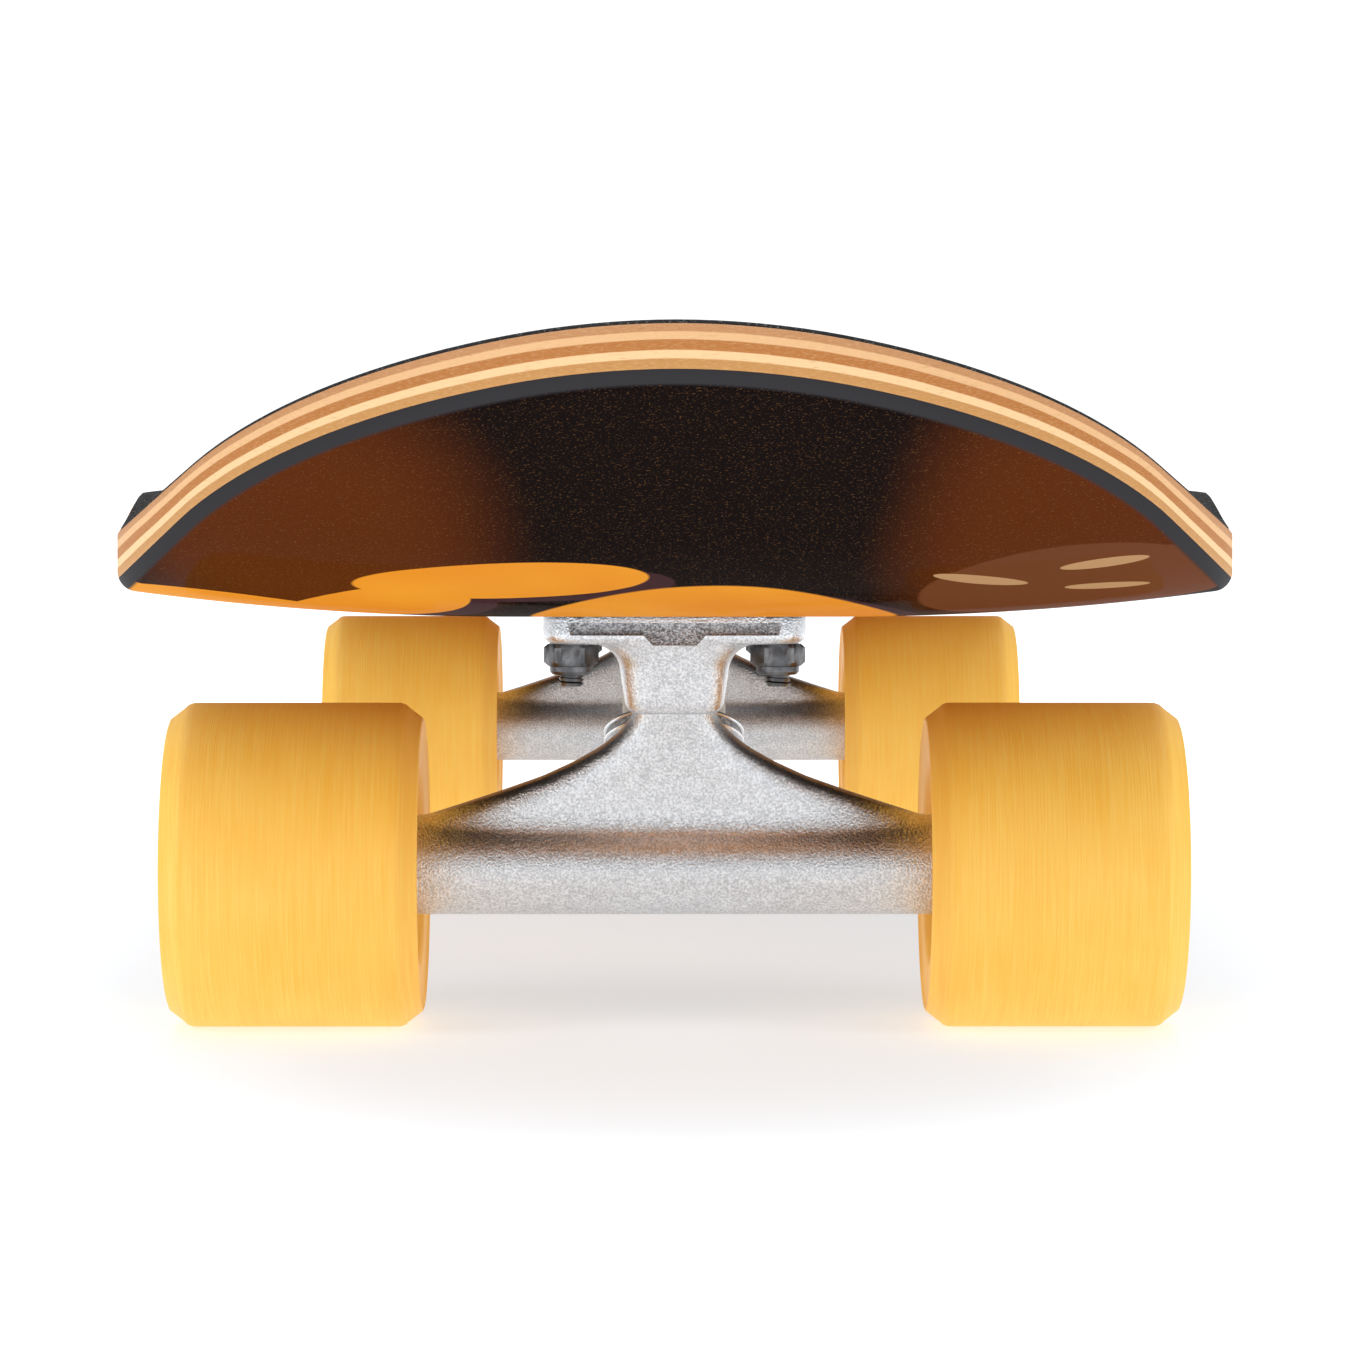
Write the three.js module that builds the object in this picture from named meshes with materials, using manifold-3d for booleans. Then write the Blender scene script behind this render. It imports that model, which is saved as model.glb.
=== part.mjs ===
// Skateboard: a pressed maple deck with two kicked ends, two kingpin trucks and four soft wheels.
// Millimetres, +Z up, +Y along the board. The origin is on the ground below the board's middle.

import * as THREE from 'three';
import { mergeVertices } from 'three/addons/utils/BufferGeometryUtils.js';
import Module from 'manifold-3d';

const wasm = await Module();
wasm.setup();

const radians = THREE.MathUtils.degToRad;

// Clearance between pieces that sit face to face or one inside the other.
const clearance = 0.3;

// Deck
const wheelbase = 480;
const deckHalfWidth = 106.5;
const deckThickness = 11;
const deckAboveAxle = 53;
const flatHalfWidth = 30;
const concaveDepth = 11.5;
const kickConcave = 5.5;
const concaveFadeFrom = 20;
const concaveFadeTo = 66;
const kickRadius = 134;
const outlinePower = 1.95;
const tipChordInset = 0.8;
const gripThickness = 0.8;
const gripInset = 0.6;
const nose = { side: -1, overhang: 180, taper: 125, kickStart: 64, kickAngle: radians(27) };
const tail = { side: 1, overhang: 157, taper: 112, kickStart: 60, kickAngle: radians(26) };

// Bolt pattern through deck and baseplate, measured inward from the axle
const boltAcross = 41.28;
const boltAlong = 53.98;
const boltPatternInward = 9;
const boltRadius = 2.4;
const boltHeadRadius = 4.6;
const boltHeadHeight = 2.8;
const boltLength = 27.8;
const boltNutFlats = 9.53;
const boltNutHeight = 6.2;

// Wheels, bearings and axles
const wheelRadius = 33;
const wheelWidth = 51.4;
const wheelChamfer = 3.4;
const wheelRecessRadius = 20;
const wheelLipRadius = 28.8;
const wheelLipInset = 0.6;
const coreRadius = 14;
const coreBoreRadius = 9.4;
const bearingRadius = 11;
const bearingWidth = 7;
const bearingSpacing = 10.3;
const axleRadius = 4;
const axleNutFlats = 12.7;
const axleNutHeight = 7.4;
const axleTipLength = 1.4;
const spacerRadius = 6;
const speedWasherThickness = 0.8;

// Truck: distances inward (+Y) and up from the axle's centre
const hangerHalfWidth = 63.5;
const hangerTubeRadius = 10.2;
const steerAngle = radians(25);
const pivotInward = -16;
const pivotAboveAxle = 42;
const pivotToKingpin = 49.5;
const pivotRadius = 5;
const pivotCupWall = 1.6;
const neckRadius = 8;
const ringRadius = 14.5;
const ringThickness = 8;
const seatRimHeight = 0.8;
const armWidth = 21;
const steerLimit = radians(14);
const plateWidth = 52.7;
const plateMargin = 14;
const plateThickness = 6.6;
const plateCornerRadius = 7;
const housingWidth = 22.8;
const housingBottom = 32;
const bossRadius = 11.4;
const bossWall = 5.6;
const kingpinRadius = 4.75;
const kingpinFlats = 14.3;
const kingpinHeadHeight = 5;
const kingpinNutHeight = 7;
const kingpinTip = 2.4;
const bushingRadius = 10.6;
const boardBushingHeight = 12;
const roadBushingHeight = 10;
const roadBushingEndRadius = 8.5;
const washerThickness = 1.5;
const boardWasherRadius = 11.2;
const roadWasherRadius = 10.2;

// Derived places
const deckLength = nose.overhang + wheelbase + tail.overhang;
nose.axleY = nose.overhang - deckLength / 2;
tail.axleY = deckLength / 2 - tail.overhang;
const axleHeight = wheelRadius;
const deckTop = axleHeight + deckAboveAxle + deckThickness;
const gripTop = deckTop + clearance + gripThickness;
const plateTop = deckAboveAxle - clearance;
const plateBottom = plateTop - plateThickness;
const wheelCentre = hangerHalfWidth + clearance + speedWasherThickness + bearingWidth + bearingSpacing / 2;
const axleNutStart = wheelCentre + bearingSpacing / 2 + bearingWidth + clearance + speedWasherThickness;
const axleHalfLength = axleNutStart + axleNutHeight + axleTipLength;
const ringCentre = {
  y: pivotInward + pivotToKingpin * Math.cos(steerAngle),
  z: pivotAboveAxle - pivotToKingpin * Math.sin(steerAngle),
};
const ringHoleRadius = kingpinRadius + ringThickness / 2 * Math.sin(steerLimit) + 3 * clearance;

// Heights along the kingpin, counted up from the middle of the hanger's ring
const boardBushingBase = ringThickness / 2 + clearance;
const boardWasherBase = boardBushingBase + boardBushingHeight + clearance;
const bossFace = boardWasherBase + washerThickness + clearance;
const kingpinHeadBase = bossFace + bossWall + clearance;
const roadBushingTop = -ringThickness / 2 - clearance;
const roadWasherTop = roadBushingTop - roadBushingHeight - clearance;
const kingpinNutTop = roadWasherTop - washerThickness - clearance;
const kingpinEnd = kingpinNutTop - kingpinNutHeight - kingpinTip;

const materials = {
  maple: new THREE.MeshStandardMaterial({ color: '#d9a566', roughness: 0.4, metalness: 0 }),
  grip: new THREE.MeshStandardMaterial({ color: '#17171a', roughness: 0.95, metalness: 0 }),
  castMetal: new THREE.MeshStandardMaterial({ color: '#b4b5b8', roughness: 0.4, metalness: 1 }),
  darkSteel: new THREE.MeshStandardMaterial({ color: '#3a3b3f', roughness: 0.35, metalness: 1 }),
  brightSteel: new THREE.MeshStandardMaterial({ color: '#cfd0d3', roughness: 0.2, metalness: 1 }),
  bushing: new THREE.MeshStandardMaterial({ color: '#d8d4c8', roughness: 0.45, metalness: 0 }),
  pivotCup: new THREE.MeshStandardMaterial({ color: '#26262a', roughness: 0.55, metalness: 0 }),
  urethane: new THREE.MeshStandardMaterial({ color: '#eeb033', roughness: 0.35, metalness: 0 }),
};

// A closed geometry with shared corners and no collapsed triangles.
function closed(geometry) {
  const bare = geometry.clone();
  bare.deleteAttribute('normal');
  bare.deleteAttribute('uv');
  const merged = mergeVertices(bare, 1e-4);
  const corners = merged.index.array;
  const kept = [];
  for (let i = 0; i < corners.length; i += 3) {
    const [a, b, c] = [corners[i], corners[i + 1], corners[i + 2]];
    if (a !== b && b !== c && c !== a) kept.push(a, b, c);
  }
  merged.setIndex(kept);
  return merged;
}

function solidOf(geometry, matrix = new THREE.Matrix4()) {
  const merged = closed(geometry).applyMatrix4(matrix);
  return new wasm.Manifold(new wasm.Mesh({
    numProp: 3,
    vertProperties: Float32Array.from(merged.attributes.position.array),
    triVerts: Uint32Array.from(merged.index.array),
  }));
}

function geometryOf(solid) {
  const mesh = solid.getMesh();
  const geometry = new THREE.BufferGeometry();
  geometry.setAttribute('position', new THREE.Float32BufferAttribute(mesh.vertProperties, 3));
  geometry.setIndex(Array.from(mesh.triVerts));
  return geometry;
}

// A solid of revolution about Z from [radius, height] points that run up the outside.
function turned(points, segments) {
  const profile = points.map(([radius, height]) => new THREE.Vector2(radius, height));
  return closed(new THREE.LatheGeometry(profile, segments).rotateX(Math.PI / 2));
}

function rod(radius, from, to, segments) {
  return turned([[0, from], [radius, from], [radius, to], [0, to]], segments);
}

function ring(innerRadius, outerRadius, from, to, segments) {
  const inside = [innerRadius, from];
  return turned([inside, [outerRadius, from], [outerRadius, to], [innerRadius, to], inside], segments);
}

function arcPoints(radius, centreHeight, fromAngle, toAngle, steps) {
  const points = [];
  for (let i = 0; i <= steps; i += 1) {
    const angle = fromAngle + (toAngle - fromAngle) * i / steps;
    points.push([Math.max(radius * Math.cos(angle), 0), centreHeight + radius * Math.sin(angle)]);
  }
  return points;
}

function hexPrism(flats, from, to, boreRadius = 0) {
  const shape = new THREE.Shape();
  const cornerRadius = flats / Math.sqrt(3);
  for (let i = 0; i < 6; i += 1) {
    const angle = i * Math.PI / 3;
    shape.lineTo(cornerRadius * Math.cos(angle), cornerRadius * Math.sin(angle));
  }
  shape.curves.shift();
  if (boreRadius) shape.holes.push(new THREE.Path().absarc(0, 0, boreRadius, 0, 2 * Math.PI, true));
  const prism = new THREE.ExtrudeGeometry(shape, { depth: to - from, bevelEnabled: false, curveSegments: 8 });
  return closed(prism.translate(0, 0, from));
}

function addMesh(parent, name, geometry, material) {
  const mesh = new THREE.Mesh(geometry, material);
  mesh.name = name;
  parent.add(mesh);
  return mesh;
}

// Deck surface: flat between the trucks, curled up along both rails and kicked up at both ends.

function endAt(y) {
  return y < 0 ? nose : tail;
}

function aheadOfAxle(y) {
  const end = endAt(y);
  return end.side * (y - end.axleY);
}

function halfWidthAt(y) {
  const end = endAt(y);
  const fromTip = Math.max(end.overhang - aheadOfAxle(y), tipChordInset);
  const share = Math.max(1 - fromTip / end.taper, 0);
  return deckHalfWidth * (1 - share ** outlinePower) ** (1 / outlinePower);
}

function kickHeight(y) {
  const end = endAt(y);
  const run = aheadOfAxle(y) - end.kickStart;
  const bendRun = kickRadius * Math.sin(end.kickAngle);
  if (run <= 0) return 0;
  if (run < bendRun) return kickRadius - Math.sqrt(kickRadius ** 2 - run ** 2);
  return kickRadius * (1 - Math.cos(end.kickAngle)) + (run - bendRun) * Math.tan(end.kickAngle);
}

function topHeight(x, y) {
  const fade = THREE.MathUtils.smoothstep(aheadOfAxle(y), concaveFadeFrom, concaveFadeTo);
  const depth = THREE.MathUtils.lerp(concaveDepth, kickConcave, fade);
  const share = Math.max(Math.abs(x) - flatHalfWidth, 0) / (deckHalfWidth - flatHalfWidth);
  return deckTop + kickHeight(y) + depth * share ** 2;
}

// A point offset from the deck's top surface, square to it as seen from the side.
function offsetPoint(x, y, offset) {
  const step = 0.01;
  const slopeX = (topHeight(x + step, y) - topHeight(x - step, y)) / (2 * step);
  const slopeY = (topHeight(x, y + step) - topHeight(x, y - step)) / (2 * step);
  const lean = Math.hypot(slopeY, 1);
  const reach = offset * Math.hypot(slopeX, slopeY, 1) / lean;
  return new THREE.Vector3(x, y - reach * slopeY / lean, topHeight(x, y) + reach / lean);
}

function deckRows() {
  const taperSteps = 10;
  const fadeSteps = 3;
  const halves = [nose, tail].map((end) => {
    const rows = [];
    for (let i = 0; i <= taperSteps; i += 1) {
      const fromTip = end.taper * (1 - Math.cos(i / taperSteps * Math.PI / 2));
      rows.push(end.axleY + end.side * (end.overhang - fromTip));
    }
    const taperEnd = end.overhang - end.taper;
    for (let i = 1; i <= fadeSteps; i += 1) {
      const ahead = THREE.MathUtils.lerp(taperEnd, concaveFadeFrom, i / fadeSteps);
      rows.push(end.axleY + end.side * ahead);
    }
    return rows;
  });
  return [...halves[0], ...halves[1].reverse()];
}

function deckColumns() {
  const railSteps = 4;
  const flatShare = flatHalfWidth / deckHalfWidth;
  const right = [];
  for (let i = 0; i <= railSteps; i += 1) {
    right.push(THREE.MathUtils.lerp(flatShare, 1, i / railSteps));
  }
  return [...right.map((share) => -share).reverse(), ...right];
}

// A layer of the board between two offsets from the deck's top, drawn in from the outline by an
// inset. Both of its sheets are divided alike, so that neighbouring layers follow each other.
function boardLayer(lower, upper, inset) {
  const columns = deckColumns();
  const tip = deckLength / 2 - inset;
  const rows = deckRows().map((y) => THREE.MathUtils.clamp(y, -tip, tip));
  const across = columns.length;
  const sheetSize = across * rows.length;
  const points = [];
  for (const offset of [lower, upper]) {
    for (const y of rows) {
      for (const share of columns) {
        points.push(offsetPoint(share * (halfWidthAt(y) - inset), y, offset));
      }
    }
  }
  const faces = [];
  const addQuad = (a, b, c, d) => faces.push(a, b, c, a, c, d);
  for (let row = 0; row < rows.length - 1; row += 1) {
    for (let column = 0; column < across - 1; column += 1) {
      const near = row * across + column;
      const far = near + across;
      faces.push(near, far + 1, near + 1, near, far, far + 1);
      addQuad(sheetSize + near, sheetSize + near + 1, sheetSize + far + 1, sheetSize + far);
    }
    const left = row * across;
    const right = left + across - 1;
    addQuad(left, sheetSize + left, sheetSize + left + across, left + across);
    addQuad(right, right + across, sheetSize + right + across, sheetSize + right);
  }
  for (let column = 0; column < across - 1; column += 1) {
    const last = sheetSize - across + column;
    addQuad(column, column + 1, sheetSize + column + 1, sheetSize + column);
    addQuad(last + 1, last, sheetSize + last, sheetSize + last + 1);
  }
  const layer = new THREE.BufferGeometry().setFromPoints(points);
  layer.setIndex(faces);
  return closed(layer);
}

function boltPlaces(end) {
  const places = [];
  for (const along of [-1, 1]) {
    for (const across of [-1, 1]) {
      const inward = boltPatternInward + along * boltAlong / 2;
      places.push({ x: across * boltAcross / 2, inward, y: end.axleY - end.side * inward });
    }
  }
  return places;
}

// A countersunk bolt's outline, grown by a gap, from its end up to its head's top.
function boltProfile(gap) {
  const top = gripTop - 0.1;
  return [
    [0, top - boltLength - gap],
    [boltRadius + gap, top - boltLength - gap],
    [boltRadius + gap, top - boltHeadHeight - gap],
    [boltHeadRadius + gap, top - gap],
    [boltHeadRadius + gap, top + 3 * gap],
    [0, top + 3 * gap],
  ];
}

function boltedLayer(layer) {
  let solid = solidOf(layer);
  const hole = turned(boltProfile(clearance), 10);
  for (const end of [nose, tail]) {
    for (const { x, y } of boltPlaces(end)) {
      solid = solid.subtract(solidOf(hole, new THREE.Matrix4().makeTranslation(x, y, 0)));
    }
  }
  return geometryOf(solid);
}

// Truck pieces, with the axle's centre at the origin and +Y toward the board's middle.
// The steering frame has its origin in the hanger's ring, +Y along the steering axis
// away from the pivot, and +Z up the kingpin.

const steerFrame = new THREE.Matrix4().makeRotationX(-steerAngle).setPosition(0, ringCentre.y, ringCentre.z);
const alongX = new THREE.Matrix4().makeRotationY(Math.PI / 2);

// Turns a solid about Z into one about the steering axis, with height 0 at the pivot's centre.
const pivotFrame = steerFrame.clone()
  .multiply(new THREE.Matrix4().makeTranslation(0, -pivotToKingpin, 0))
  .multiply(new THREE.Matrix4().makeRotationX(-Math.PI / 2));

function sideExtrusion(points, width) {
  const shape = new THREE.Shape(points.map(([y, z]) => new THREE.Vector2(y, z)));
  const block = new THREE.ExtrudeGeometry(shape, { depth: width, bevelEnabled: false });
  block.translate(0, 0, -width / 2);
  const toTruck = new THREE.Matrix4().makeBasis(
    new THREE.Vector3(0, 1, 0), new THREE.Vector3(0, 0, 1), new THREE.Vector3(1, 0, 0));
  return block.applyMatrix4(toTruck);
}

function plateOutline() {
  const front = boltPatternInward - boltAlong / 2 - plateMargin;
  const back = boltPatternInward + boltAlong / 2 + plateMargin;
  const half = plateWidth / 2;
  const corner = plateCornerRadius;
  const shape = new THREE.Shape();
  shape.absarc(half - corner, front + corner, corner, -Math.PI / 2, 0, false);
  shape.absarc(half - corner, back - corner, corner, 0, Math.PI / 2, false);
  shape.absarc(-half + corner, back - corner, corner, Math.PI / 2, Math.PI, false);
  shape.absarc(-half + corner, front + corner, corner, Math.PI, 1.5 * Math.PI, false);
  return shape;
}

function baseplateGeometry() {
  const plateSettings = { depth: plateThickness, bevelEnabled: false, curveSegments: 4 };
  const plate = new THREE.ExtrudeGeometry(plateOutline(), plateSettings);
  plate.translate(0, 0, plateBottom);
  const front = boltPatternInward - boltAlong / 2 - plateMargin;
  const inPlate = plateBottom + plateThickness / 2;
  const housing = sideExtrusion([
    [front + 2, inPlate],
    [front + 4, housingBottom + 8],
    [pivotInward - 9, housingBottom],
    [pivotInward + 4, housingBottom],
    [pivotInward + 12, housingBottom + 6],
    [pivotInward + 17, inPlate],
  ], housingWidth);
  const bossTop = kingpinHeadBase + kingpinHeadHeight;
  const boss = rod(bossRadius, bossFace, bossTop, 18);
  const span = 2 * plateWidth;
  const below = new THREE.BoxGeometry(span, 2 * span, span).translate(0, 0, plateTop - span / 2);
  const holeRadius = pivotRadius + pivotCupWall + 2 * clearance;
  const cupHole = turned([
    ...arcPoints(holeRadius, 0, -Math.PI / 2, 0, 4),
    [holeRadius, pivotRadius + clearance],
    [neckRadius + 5 * clearance, pivotRadius + 2],
    [neckRadius + 5 * clearance, 5 * pivotRadius],
    [0, 5 * pivotRadius],
  ], 18);
  const kingpinHole = rod(kingpinRadius + clearance, bossFace - 1, kingpinHeadBase, 16);
  const pocketTop = bossTop + 3 * kingpinHeadHeight;
  const headPocket = hexPrism(kingpinFlats + 2 * clearance, bossFace + bossWall, pocketTop);
  let solid = solidOf(plate).add(solidOf(housing)).add(solidOf(boss, steerFrame));
  solid = solid.intersect(solidOf(below));
  solid = solid.subtract(solidOf(cupHole, pivotFrame));
  solid = solid.subtract(solidOf(kingpinHole, steerFrame)).subtract(solidOf(headPocket, steerFrame));
  const boltHole = rod(boltRadius + clearance, plateBottom - 1, plateTop + 1, 12);
  for (const { x, inward } of boltPlaces(nose)) {
    solid = solid.subtract(solidOf(boltHole, new THREE.Matrix4().makeTranslation(x, inward, 0)));
  }
  return geometryOf(solid);
}

// The web's outline seen from the front: a neck under the pivot that sweeps out to the tube's ends.
function webOutline() {
  const neck = { x: neckRadius + 1.5, z: housingBottom - 3 };
  const foot = { x: hangerHalfWidth - 5, z: hangerTubeRadius * 0.6 };
  const shape = new THREE.Shape();
  shape.moveTo(-foot.x, 0);
  shape.lineTo(foot.x, 0);
  shape.lineTo(foot.x, foot.z);
  shape.bezierCurveTo(hangerHalfWidth * 0.44, 16, neckRadius + 4, 21, neck.x, neck.z);
  shape.lineTo(-neck.x, neck.z);
  shape.bezierCurveTo(-neckRadius - 4, 21, -hangerHalfWidth * 0.44, 16, -foot.x, foot.z);
  return shape;
}

function hangerGeometry() {
  const webDepth = 1.6 * hangerTubeRadius;
  const webSettings = { depth: webDepth, bevelEnabled: false, curveSegments: 6 };
  const web = new THREE.ExtrudeGeometry(webOutline(), webSettings);
  web.rotateX(Math.PI / 2).translate(0, webDepth / 2, 0);
  const tube = rod(hangerTubeRadius, -hangerHalfWidth, hangerHalfWidth, 24);
  const neckLength = pivotToKingpin - ringRadius;
  const nosePiece = turned([
    ...arcPoints(pivotRadius, 0, -Math.PI / 2, 0, 4),
    [pivotRadius, pivotRadius],
    [neckRadius, pivotRadius + 8],
    [neckRadius, neckLength],
    [0, neckLength],
  ], 18);
  const armStart = -pivotToKingpin + 2 * pivotRadius + 12;
  const arm = sideExtrusion([
    [armStart, -ringThickness],
    [-ringRadius + 3, -ringThickness],
    [0, -ringThickness / 2],
    [0, ringThickness / 2],
    [armStart, ringThickness / 2],
  ], armWidth);
  const gusset = sideExtrusion([
    [0, 0],
    [hangerTubeRadius * 0.95, hangerTubeRadius * 0.3],
    [ringCentre.y - ringRadius, ringCentre.z + 2],
    [0, ringCentre.z + ringThickness],
  ], armWidth);
  const eye = rod(ringRadius, -ringThickness / 2, ringThickness / 2, 24);
  let solid = solidOf(tube, alongX).add(solidOf(web)).add(solidOf(nosePiece, pivotFrame));
  solid = solid.add(solidOf(arm, steerFrame)).add(solidOf(gusset)).add(solidOf(eye, steerFrame));
  const bushingRoom = bushingRadius + 4 * clearance;
  const cuts = [
    rod(ringHoleRadius, -ringThickness, ringThickness, 16),
    rod(bushingRoom, ringThickness / 2, boardWasherBase, 18),
    rod(bushingRoom, roadWasherTop, -ringThickness / 2, 18),
  ];
  for (const cut of cuts) solid = solid.subtract(solidOf(cut, steerFrame));
  const rimTop = ringThickness / 2 + seatRimHeight;
  const seatRim = ring(bushingRoom + 0.4, ringRadius - 0.3, ringThickness / 4, rimTop, 24);
  solid = solid.add(solidOf(seatRim, steerFrame));
  const axleHole = rod(axleRadius + clearance, -hangerHalfWidth - 1, hangerHalfWidth + 1, 16);
  return geometryOf(solid.subtract(solidOf(axleHole, alongX)));
}

function kingpinGeometry() {
  const head = hexPrism(kingpinFlats, kingpinHeadBase, kingpinHeadBase + kingpinHeadHeight);
  const shank = turned([
    [0, kingpinEnd],
    [kingpinRadius - 0.8, kingpinEnd],
    [kingpinRadius, kingpinEnd + 0.8],
    [kingpinRadius, kingpinHeadBase + 1],
    [0, kingpinHeadBase + 1],
  ], 16);
  return geometryOf(solidOf(head).add(solidOf(shank)));
}

function nutGeometry(flats, boreRadius, from, to) {
  const collarRadius = flats * 0.46;
  const collarHeight = (to - from) * 0.28;
  const hex = solidOf(hexPrism(flats, from, to - collarHeight, boreRadius));
  return geometryOf(hex.add(solidOf(ring(boreRadius, collarRadius, to - collarHeight - 0.5, to, 12))));
}

function washerGeometry(radius, base) {
  return ring(kingpinRadius + clearance, radius, base, base + washerThickness, 18);
}

function pivotCupGeometry() {
  const inner = pivotRadius + clearance;
  const outer = inner + pivotCupWall;
  return turned([
    ...arcPoints(outer, 0, -Math.PI / 2, 0, 4),
    [outer, pivotRadius],
    [inner, pivotRadius],
    ...arcPoints(inner, 0, 0, -Math.PI / 2, 4),
  ], 18);
}

function bushingGeometry(from, to, fromRadius, toRadius) {
  const bore = kingpinRadius + clearance;
  const waist = (from + to) / 2;
  return turned([
    [bore, from],
    [fromRadius - 0.8, from],
    [fromRadius, from + 0.8],
    [(fromRadius + toRadius) / 2, waist],
    [toRadius, to - 0.8],
    [toRadius - 0.8, to],
    [bore, to],
    [bore, from],
  ], 18);
}

function wheelGeometry() {
  const seatRadius = bearingRadius + clearance;
  const seatStart = bearingSpacing / 2 - clearance / 2;
  const seatEnd = bearingSpacing / 2 + bearingWidth + clearance;
  const face = wheelWidth / 2;
  const half = [
    [coreBoreRadius, seatStart],
    [seatRadius, seatStart],
    [seatRadius, seatEnd],
    [coreRadius, seatEnd + 0.6],
    [wheelRecessRadius, face - 1],
    [wheelRecessRadius + 1, face - wheelLipInset],
    [wheelLipRadius - 1, face - wheelLipInset],
    [wheelLipRadius, face],
    [wheelLipRadius + 1.6, face - wheelChamfer * 0.2],
    [wheelRadius, face - wheelChamfer],
  ];
  const mirrored = half.map(([radius, x]) => [radius, -x]);
  const points = [...mirrored, ...half.reverse()];
  return turned([...points, points[0]], 28);
}

function addSteerPiece(truck, name, geometry, material) {
  const mesh = addMesh(truck, name, geometry, material);
  mesh.rotation.x = -steerAngle;
  mesh.position.set(0, ringCentre.y, ringCentre.z);
  return mesh;
}

function wheelSet(truck, prefix, side) {
  const set = new THREE.Group();
  set.position.x = side * wheelCentre;
  set.rotation.y = side * Math.PI / 2;
  truck.add(set);
  const bearing = ring(axleRadius + clearance, bearingRadius, 0, bearingWidth, 18);
  addMesh(set, `${prefix}_wheel`, wheelGeometry(), materials.urethane);
  const inner = addMesh(set, `${prefix}_inner_bearing`, bearing, materials.brightSteel);
  inner.position.z = -bearingSpacing / 2 - bearingWidth;
  const outer = addMesh(set, `${prefix}_outer_bearing`, bearing, materials.brightSteel);
  outer.position.z = bearingSpacing / 2;
  const spacerHalf = bearingSpacing / 2 - clearance;
  const spacer = ring(axleRadius + clearance, spacerRadius, -spacerHalf, spacerHalf, 12);
  addMesh(set, `${prefix}_bearing_spacer`, spacer, materials.brightSteel);
  const nutStart = axleNutStart - wheelCentre;
  const nut = nutGeometry(axleNutFlats, axleRadius + clearance, nutStart, nutStart + axleNutHeight);
  addMesh(set, `${prefix}_axle_nut`, nut, materials.brightSteel);
}

function buildTruck(prefix, end) {
  const truck = new THREE.Group();
  truck.position.set(0, end.axleY, axleHeight);
  truck.rotation.z = end === nose ? 0 : Math.PI;
  addMesh(truck, `${prefix}_baseplate`, baseplateGeometry(), materials.castMetal);
  addMesh(truck, `${prefix}_hanger`, hangerGeometry(), materials.castMetal);
  const cup = addMesh(truck, `${prefix}_pivot_cup`, pivotCupGeometry(), materials.pivotCup);
  cup.applyMatrix4(pivotFrame);

  const nutBore = kingpinRadius + clearance;
  const kingpinNut = nutGeometry(kingpinFlats, nutBore, 0, kingpinNutHeight);
  kingpinNut.rotateX(Math.PI).translate(0, 0, kingpinNutTop);
  const roadWasher = washerGeometry(roadWasherRadius, roadWasherTop - washerThickness);
  const boardWasher = washerGeometry(boardWasherRadius, boardWasherBase);
  const boardBushing = bushingGeometry(
    boardBushingBase, boardBushingBase + boardBushingHeight, bushingRadius, bushingRadius);
  const roadBushing = bushingGeometry(
    roadBushingTop - roadBushingHeight, roadBushingTop, roadBushingEndRadius, bushingRadius);
  addSteerPiece(truck, `${prefix}_kingpin`, kingpinGeometry(), materials.darkSteel);
  addSteerPiece(truck, `${prefix}_kingpin_nut`, kingpinNut, materials.darkSteel);
  addSteerPiece(truck, `${prefix}_board_washer`, boardWasher, materials.brightSteel);
  addSteerPiece(truck, `${prefix}_road_washer`, roadWasher, materials.brightSteel);
  addSteerPiece(truck, `${prefix}_board_bushing`, boardBushing, materials.bushing);
  addSteerPiece(truck, `${prefix}_road_bushing`, roadBushing, materials.bushing);

  const axle = turned([
    [0, -axleHalfLength],
    [axleRadius - 0.8, -axleHalfLength],
    [axleRadius, -axleHalfLength + 0.8],
    [axleRadius, axleHalfLength - 0.8],
    [axleRadius - 0.8, axleHalfLength],
    [0, axleHalfLength],
  ], 16);
  addMesh(truck, `${prefix}_axle`, axle, materials.brightSteel).rotation.y = Math.PI / 2;
  for (const side of [-1, 1]) {
    const worldSide = end === nose ? side : -side;
    wheelSet(truck, `${prefix}_${worldSide < 0 ? 'left' : 'right'}`, side);
  }
  return truck;
}

function addMountingHardware(board, prefix, end) {
  const bolt = turned(boltProfile(0), 10);
  const nutTop = axleHeight + plateBottom - clearance;
  const nut = nutGeometry(boltNutFlats, boltRadius + clearance, 0, boltNutHeight);
  nut.rotateX(Math.PI).translate(0, 0, nutTop);
  boltPlaces(end).forEach(({ x, y }, index) => {
    addMesh(board, `${prefix}_bolt_${index + 1}`, bolt, materials.darkSteel).position.set(x, y, 0);
    addMesh(board, `${prefix}_nut_${index + 1}`, nut, materials.darkSteel).position.set(x, y, 0);
  });
}

const skateboard = new THREE.Group();
const deckLayer = boardLayer(-deckThickness, 0, 0);
addMesh(skateboard, 'deck', boltedLayer(deckLayer), materials.maple);
const gripLayer = boardLayer(clearance, clearance + gripThickness, gripInset);
addMesh(skateboard, 'grip_tape', boltedLayer(gripLayer), materials.grip);
addMountingHardware(skateboard, 'front', nose);
addMountingHardware(skateboard, 'rear', tail);
skateboard.add(buildTruck('front', nose));
skateboard.add(buildTruck('rear', tail));

export default skateboard;
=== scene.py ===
import math
import bpy
import numpy as np
from mathutils import Matrix, Vector


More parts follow.
